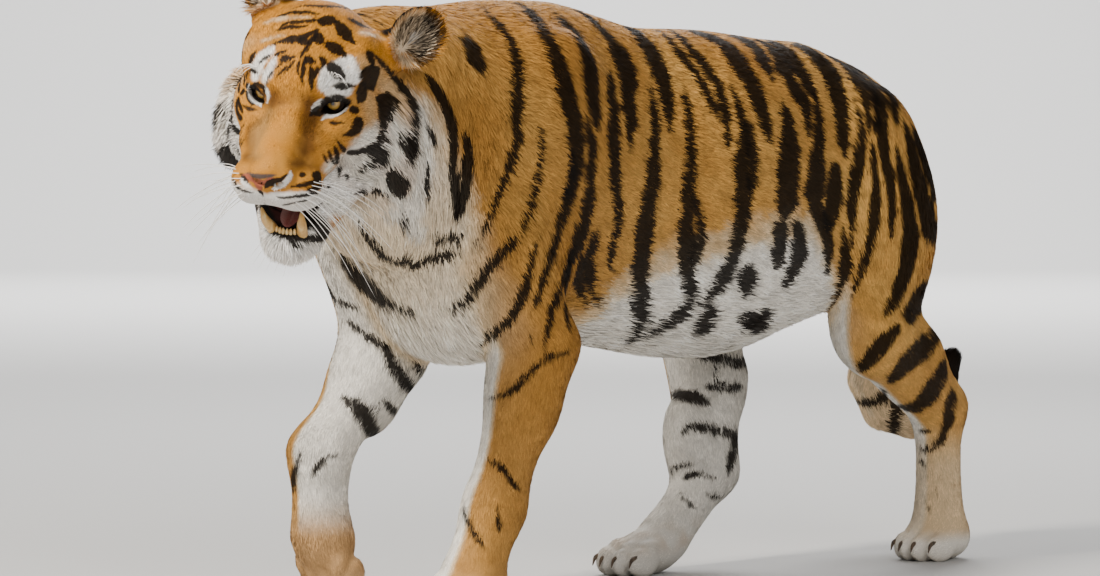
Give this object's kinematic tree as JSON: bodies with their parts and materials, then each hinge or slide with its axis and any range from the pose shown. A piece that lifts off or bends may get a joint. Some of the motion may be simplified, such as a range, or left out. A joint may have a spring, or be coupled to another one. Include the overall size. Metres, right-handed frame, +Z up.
{
  "type": "tiger figure",
  "caption": "Life-size still model of a walking striped big cat, head turned to its left, mouth a little open, tail hanging.",
  "frame": {"origin": "bottom centre of the bounding box, on the floor between the feet", "axes": "+Z up, the animal faces -Y, its left side is +X"},
  "size_m": [0.451, 1.958, 1.0557],
  "materials": {
    "canine_left": "enamel, creamy yellow",
    "canine_right": "enamel, creamy yellow",
    "claw_foreleg_left_1": "horn, dark",
    "claw_foreleg_left_2": "horn, dark",
    "claw_foreleg_left_3": "horn, dark",
    "claw_foreleg_left_4": "horn, dark",
    "claw_foreleg_right_1": "horn, dark",
    "claw_foreleg_right_2": "horn, dark",
    "claw_foreleg_right_3": "horn, dark",
    "claw_foreleg_right_4": "horn, dark",
    "claw_hind_leg_left_1": "horn, dark",
    "claw_hind_leg_left_2": "horn, dark",
    "claw_hind_leg_left_3": "horn, dark",
    "claw_hind_leg_left_4": "horn, dark",
    "claw_hind_leg_right_1": "horn, dark",
    "claw_hind_leg_right_2": "horn, dark",
    "claw_hind_leg_right_3": "horn, dark",
    "claw_hind_leg_right_4": "horn, dark",
    "ear_left": "golden-orange fur with black stripes, white below",
    "ear_right": "golden-orange fur with black stripes, white below",
    "eye_left": "clear, over an amber iris",
    "eye_right": "clear, over an amber iris",
    "foreleg_left": "golden-orange fur with black stripes, white below",
    "foreleg_right": "golden-orange fur with black stripes, white below",
    "forepaw_left": "golden-orange fur with black stripes, white below",
    "forepaw_right": "short pale fur",
    "head": "golden-orange fur with black stripes, white below",
    "hind_leg_left": "golden-orange fur with black stripes, white below",
    "hind_leg_right": "golden-orange fur with black stripes, white below",
    "hindpaw_left": "short pale fur",
    "hindpaw_right": "short pale fur",
    "lower_jaw": "short pale fur",
    "neck": "golden-orange fur with black stripes, white below",
    "tail_base": "golden-orange fur with black stripes, white below",
    "tail_middle": "golden-orange fur with black stripes, white below",
    "tail_tip": "golden-orange fur with black stripes, white below",
    "tongue": "moist, maroon pink",
    "trunk": "golden-orange fur with black stripes, white below"
  },
  "bodies": {
    "root": {"canine_left": "canine_left", "canine_right": "canine_right", "claw_foreleg_left_1": "claw_foreleg_left_1", "claw_foreleg_left_2": "claw_foreleg_left_2", "claw_foreleg_left_3": "claw_foreleg_left_3", "claw_foreleg_left_4": "claw_foreleg_left_4", "claw_foreleg_right_1": "claw_foreleg_right_1", "claw_foreleg_right_2": "claw_foreleg_right_2", "claw_foreleg_right_3": "claw_foreleg_right_3", "claw_foreleg_right_4": "claw_foreleg_right_4", "claw_hind_leg_left_1": "claw_hind_leg_left_1", "claw_hind_leg_left_2": "claw_hind_leg_left_2", "claw_hind_leg_left_3": "claw_hind_leg_left_3", "claw_hind_leg_left_4": "claw_hind_leg_left_4", "claw_hind_leg_right_1": "claw_hind_leg_right_1", "claw_hind_leg_right_2": "claw_hind_leg_right_2", "claw_hind_leg_right_3": "claw_hind_leg_right_3", "claw_hind_leg_right_4": "claw_hind_leg_right_4", "ear_left": "ear_left", "ear_right": "ear_right", "eye_left": "eye_left", "eye_right": "eye_right", "foreleg_left": "foreleg_left", "foreleg_right": "foreleg_right", "forepaw_left": "forepaw_left", "forepaw_right": "forepaw_right", "head": "head", "hind_leg_left": "hind_leg_left", "hind_leg_right": "hind_leg_right", "hindpaw_left": "hindpaw_left", "hindpaw_right": "hindpaw_right", "lower_jaw": "lower_jaw", "neck": "neck", "tail_base": "tail_base", "tail_middle": "tail_middle", "tail_tip": "tail_tip", "tongue": "tongue", "trunk": "trunk"}
  },
  "joints": []
}
